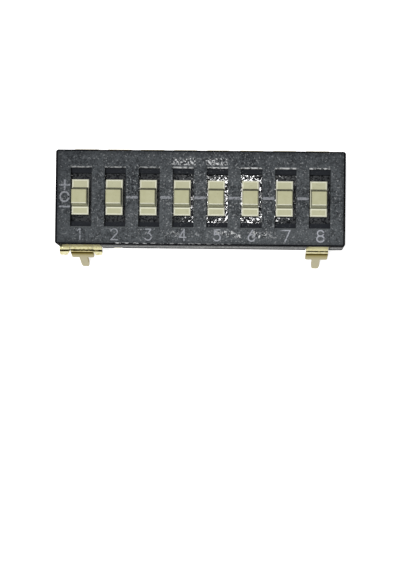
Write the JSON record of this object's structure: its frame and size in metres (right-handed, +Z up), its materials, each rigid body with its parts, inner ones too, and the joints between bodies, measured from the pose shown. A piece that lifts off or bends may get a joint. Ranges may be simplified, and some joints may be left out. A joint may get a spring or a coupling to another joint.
{
  "type": "dip switch",
  "caption": "Through-hole row of three-state slide switches in a flat black housing, each ivory slider joining its pin to a plus strip, a minus strip or neither.",
  "frame": {"origin": "centre of the pin tips' plane under the body, midway between the end pins, at the middle of the overall width", "axes": "+X runs from position 1 to the last position, +Y points to the row of signal pins, +Z up out of the sliders' face"},
  "size_m": [0.0218, 0.0092, 0.0085],
  "materials": {
    "cover_plastic": "satin, eroded mould texture",
    "base_plastic": "satin, eroded mould texture",
    "slider_plastic": "satin",
    "terminal_metal": "bright plated",
    "contact_metal": "bright plated"
  },
  "bodies": {
    "housing": {"cover": "cover_plastic", "base": "base_plastic", "plus_common_terminal": "terminal_metal", "minus_common_terminal": "terminal_metal", "signal_terminal_1": "terminal_metal", "signal_terminal_2": "terminal_metal", "signal_terminal_3": "terminal_metal", "signal_terminal_4": "terminal_metal", "signal_terminal_5": "terminal_metal", "signal_terminal_6": "terminal_metal", "signal_terminal_7": "terminal_metal", "signal_terminal_8": "terminal_metal"},
    "slider_assembly_1": {"slider_1": "slider_plastic", "moving_contact_1": "contact_metal"},
    "slider_assembly_2": {"slider_2": "slider_plastic", "moving_contact_2": "contact_metal"},
    "slider_assembly_3": {"slider_3": "slider_plastic", "moving_contact_3": "contact_metal"},
    "slider_assembly_4": {"slider_4": "slider_plastic", "moving_contact_4": "contact_metal"},
    "slider_assembly_5": {"slider_5": "slider_plastic", "moving_contact_5": "contact_metal"},
    "slider_assembly_6": {"slider_6": "slider_plastic", "moving_contact_6": "contact_metal"},
    "slider_assembly_7": {"slider_7": "slider_plastic", "moving_contact_7": "contact_metal"},
    "slider_assembly_8": {"slider_8": "slider_plastic", "moving_contact_8": "contact_metal"}
  },
  "joints": [
    {"name": "slide_1", "type": "slide", "parent": "housing", "child": "slider_assembly_1", "axis": [0, 1, 0], "range_m": [-0.00084, 0.00084]},
    {"name": "slide_2", "type": "slide", "parent": "housing", "child": "slider_assembly_2", "axis": [0, 1, 0], "range_m": [-0.00084, 0.00084]},
    {"name": "slide_3", "type": "slide", "parent": "housing", "child": "slider_assembly_3", "axis": [0, 1, 0], "range_m": [-0.00084, 0.00084]},
    {"name": "slide_4", "type": "slide", "parent": "housing", "child": "slider_assembly_4", "axis": [0, 1, 0], "range_m": [-0.00084, 0.00084]},
    {"name": "slide_5", "type": "slide", "parent": "housing", "child": "slider_assembly_5", "axis": [0, 1, 0], "range_m": [-0.00084, 0.00084]},
    {"name": "slide_6", "type": "slide", "parent": "housing", "child": "slider_assembly_6", "axis": [0, 1, 0], "range_m": [-0.00084, 0.00084]},
    {"name": "slide_7", "type": "slide", "parent": "housing", "child": "slider_assembly_7", "axis": [0, 1, 0], "range_m": [-0.00084, 0.00084]},
    {"name": "slide_8", "type": "slide", "parent": "housing", "child": "slider_assembly_8", "axis": [0, 1, 0], "range_m": [-0.00084, 0.00084]}
  ]
}
